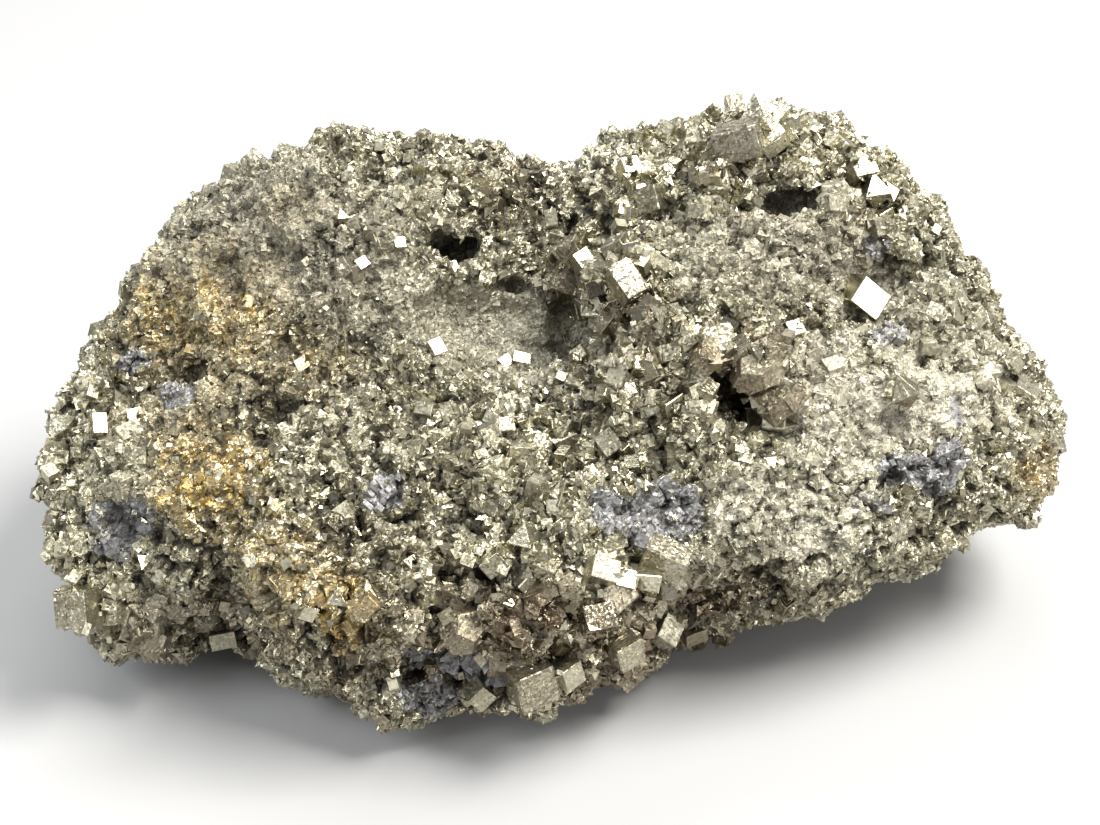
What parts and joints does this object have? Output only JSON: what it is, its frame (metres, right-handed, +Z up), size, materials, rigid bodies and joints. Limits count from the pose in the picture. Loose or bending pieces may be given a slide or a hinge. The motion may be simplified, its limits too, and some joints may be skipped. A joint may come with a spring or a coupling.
{
  "type": "pyrite specimen",
  "caption": "Natural pyrite crystal cluster for display: a broad lump crusted with small cubic crystals over a sloping face, with a hollow in it, lying on its broken underside.",
  "frame": {"origin": "middle of the specimen's box on the plane that it rests on", "axes": "+X to the right along the length, +Y to the back, +Z up; the crystal-covered face looks to -Y and up"},
  "size_m": [0.2014, 0.1254, 0.0977],
  "materials": {
    "pyrite": "satin"
  },
  "bodies": {
    "root": {"pyrite_mass": "pyrite"}
  },
  "joints": []
}
